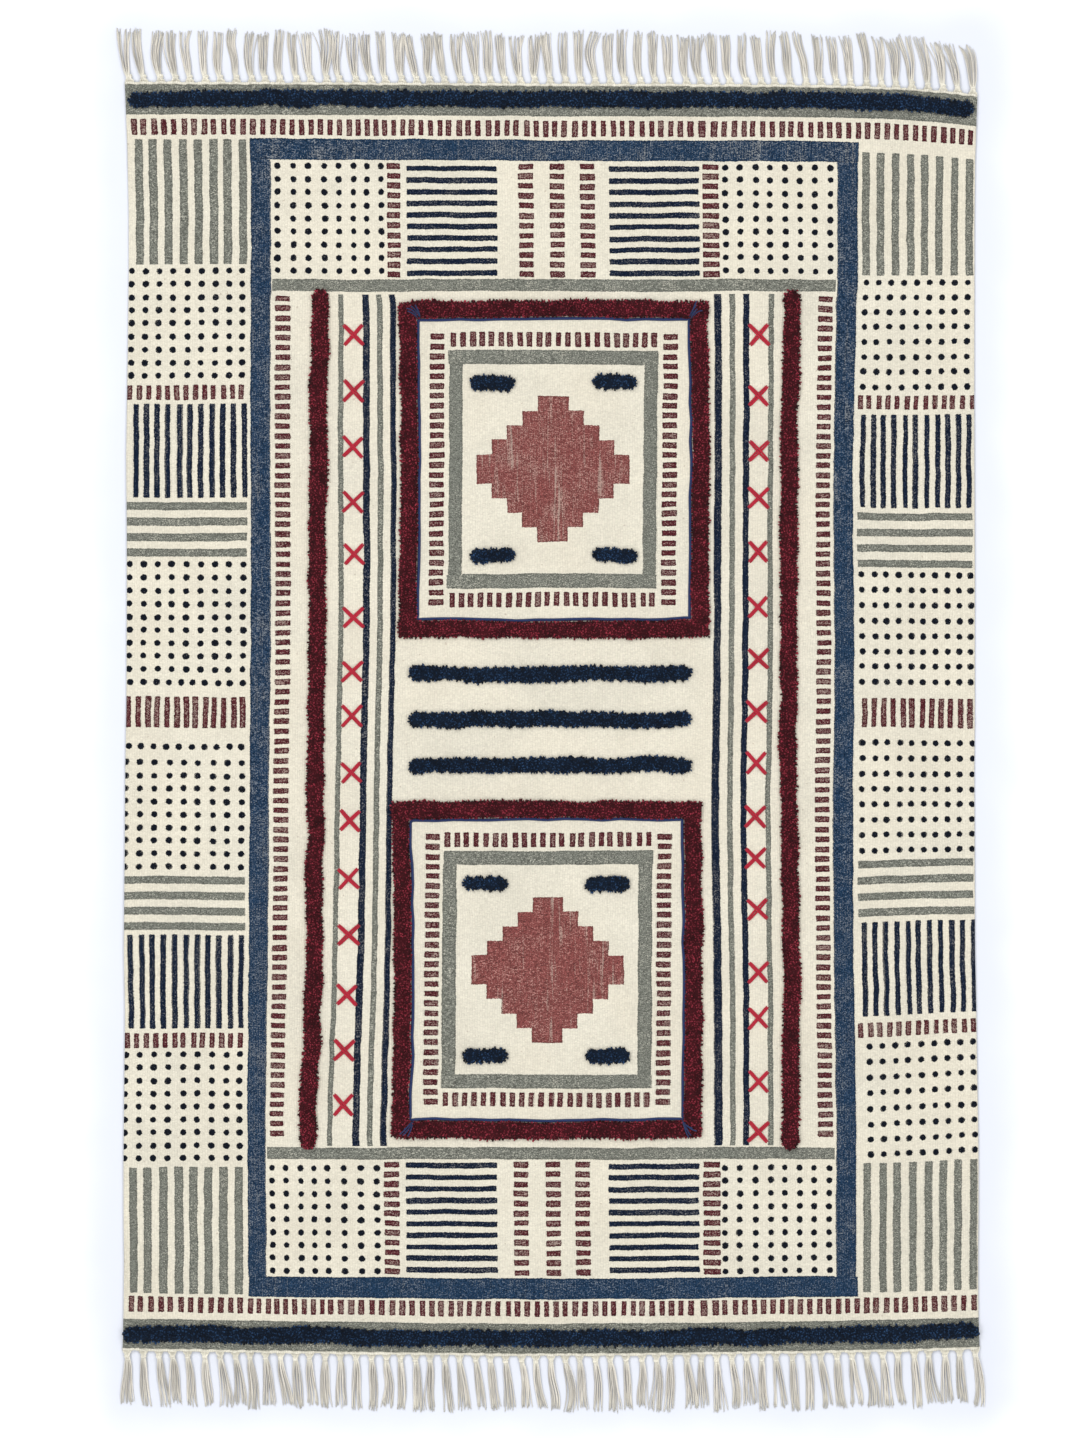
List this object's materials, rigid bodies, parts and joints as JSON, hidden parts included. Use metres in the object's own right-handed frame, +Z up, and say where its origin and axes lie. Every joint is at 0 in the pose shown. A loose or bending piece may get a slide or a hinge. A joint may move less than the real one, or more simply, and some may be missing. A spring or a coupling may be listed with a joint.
{
  "type": "dhurrie rug",
  "caption": "Flat rectangular cotton dhurrie with printed stripes and dots, raised lines of cut pile and a knotted fringe along each end, lying flat on a floor.",
  "frame": {"origin": "centre of the underside, on the floor", "axes": "+Z up out of the printed face, +Y along the length towards the far fringe, +X across the width"},
  "size_m": [1.228, 1.9886, 0.0122],
  "materials": {
    "printed_cotton": "undyed flat-woven cotton, block printed in grey, navy and rust",
    "fringe_cotton": "undyed knotted cotton warp yarn",
    "maroon_yarn": "short cut pile of maroon yarn",
    "navy_yarn": "short cut pile of navy yarn",
    "red_yarn": "red embroidery yarn"
  },
  "bodies": {
    "root": {"woven_cloth": "printed_cotton", "fringe_far": "fringe_cotton", "fringe_near": "fringe_cotton", "end_line_far": "navy_yarn", "end_line_near": "navy_yarn", "side_line_left": "maroon_yarn", "side_line_right": "maroon_yarn", "panel_far_frame_far": "maroon_yarn", "panel_far_frame_near": "maroon_yarn", "panel_far_frame_left": "maroon_yarn", "panel_far_frame_right": "maroon_yarn", "panel_near_frame_far": "maroon_yarn", "panel_near_frame_near": "maroon_yarn", "panel_near_frame_left": "maroon_yarn", "panel_near_frame_right": "maroon_yarn", "panel_far_bar_far_left": "navy_yarn", "panel_far_bar_far_right": "navy_yarn", "panel_far_bar_near_left": "navy_yarn", "panel_far_bar_near_right": "navy_yarn", "panel_near_bar_far_left": "navy_yarn", "panel_near_bar_far_right": "navy_yarn", "panel_near_bar_near_left": "navy_yarn", "panel_near_bar_near_right": "navy_yarn", "long_bar_far": "navy_yarn", "long_bar_middle": "navy_yarn", "long_bar_near": "navy_yarn"}
  },
  "joints": []
}
